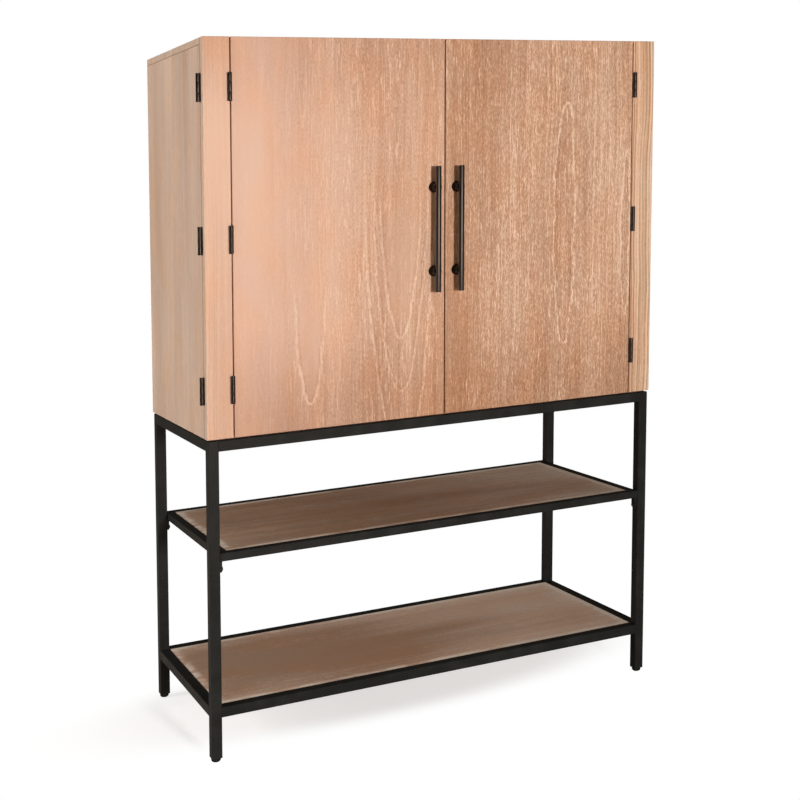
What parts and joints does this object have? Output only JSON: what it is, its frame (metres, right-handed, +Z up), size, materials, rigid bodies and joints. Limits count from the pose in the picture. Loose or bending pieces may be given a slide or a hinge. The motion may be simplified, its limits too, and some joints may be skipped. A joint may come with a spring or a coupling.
{
  "type": "bar cabinet",
  "caption": "Tall bar cabinet: a limed-oak box with wrap-around folding doors on knuckle hinges and bar handles, raised on a black square-tube steel stand with open wooden shelves.",
  "frame": {"origin": "on the floor, under the middle of the cabinet's overall box", "axes": "+X to the right as seen from the front, the doors face -Y, +Z up"},
  "size_m": [1.229, 0.537, 1.679],
  "materials": {
    "door_wood": "matt limed oak with fine pale upright grain",
    "shelf_wood": "matt brown oak with grain along the front",
    "inner_wood": "matt oak, plain inside",
    "black_steel": "satin black powder coat",
    "black_hardware": "satin black",
    "plated_steel": "plated",
    "black_plastic": "matt"
  },
  "bodies": {
    "cabinet": {"side_panel_left": "door_wood", "side_panel_right": "door_wood", "top_panel": "door_wood", "bottom_panel": "inner_wood", "back_panel": "inner_wood", "fixed_shelf": "inner_wood", "centre_divider": "inner_wood", "shelf_pins": "plated_steel", "loose_shelf_left": "inner_wood", "loose_shelf_right": "inner_wood", "stemware_rails": "inner_wood", "side_hinge_leaves": "black_hardware", "side_hinge_pins": "black_hardware", "magnetic_catches": "black_plastic", "leg_front_left": "black_steel", "leg_front_right": "black_steel", "leg_back_left": "black_steel", "leg_back_right": "black_steel", "shelf_lugs": "black_steel", "lug_screws": "plated_steel", "top_rail_front": "black_steel", "top_rail_back": "black_steel", "top_rail_left": "black_steel", "top_rail_right": "black_steel", "bottom_rail_front": "black_steel", "bottom_rail_back": "black_steel", "bottom_rail_left": "black_steel", "bottom_rail_right": "black_steel", "middle_rail_front": "black_steel", "middle_rail_back": "black_steel", "middle_rail_left": "black_steel", "middle_rail_right": "black_steel", "middle_shelf_board": "shelf_wood", "bottom_shelf_board": "shelf_wood", "corner_plates": "black_steel", "box_bolts": "plated_steel", "foot_front_left": "black_plastic", "foot_front_right": "black_plastic", "foot_back_left": "black_plastic", "foot_back_right": "black_plastic"},
    "stile_left": {"corner_stile_left": "door_wood", "stile_hinge_leaves_left": "black_hardware"},
    "stile_right": {"corner_stile_right": "door_wood", "stile_hinge_leaves_right": "black_hardware"},
    "door_left": {"door_left": "door_wood", "door_hinge_leaves_left": "black_hardware", "door_hinge_pins_left": "black_hardware", "handle_bar_left": "black_hardware", "handle_posts_left": "black_hardware", "handle_screws_left": "plated_steel", "door_strike_left": "plated_steel"},
    "door_right": {"door_right": "door_wood", "door_hinge_leaves_right": "black_hardware", "door_hinge_pins_right": "black_hardware", "handle_bar_right": "black_hardware", "handle_posts_right": "black_hardware", "handle_screws_right": "plated_steel", "door_strike_right": "plated_steel"}
  },
  "joints": [
    {"name": "stile_left_hinge", "type": "hinge", "parent": "cabinet", "child": "stile_left", "pos_m": [-0.60955, -0.21495, 1.22275], "axis": [0, 0, -1], "range_deg": [0, 90]},
    {"name": "door_left_hinge", "type": "hinge", "parent": "stile_left", "child": "door_left", "pos_m": [-0.54245, -0.23905, 1.22275], "axis": [0, 0, -1], "range_deg": [0, 175]},
    {"name": "stile_right_hinge", "type": "hinge", "parent": "cabinet", "child": "stile_right", "pos_m": [0.60955, -0.21495, 1.22275], "axis": [0, 0, 1], "range_deg": [0, 90]},
    {"name": "door_right_hinge", "type": "hinge", "parent": "stile_right", "child": "door_right", "pos_m": [0.54245, -0.23905, 1.22275], "axis": [0, 0, 1], "range_deg": [0, 175]}
  ]
}
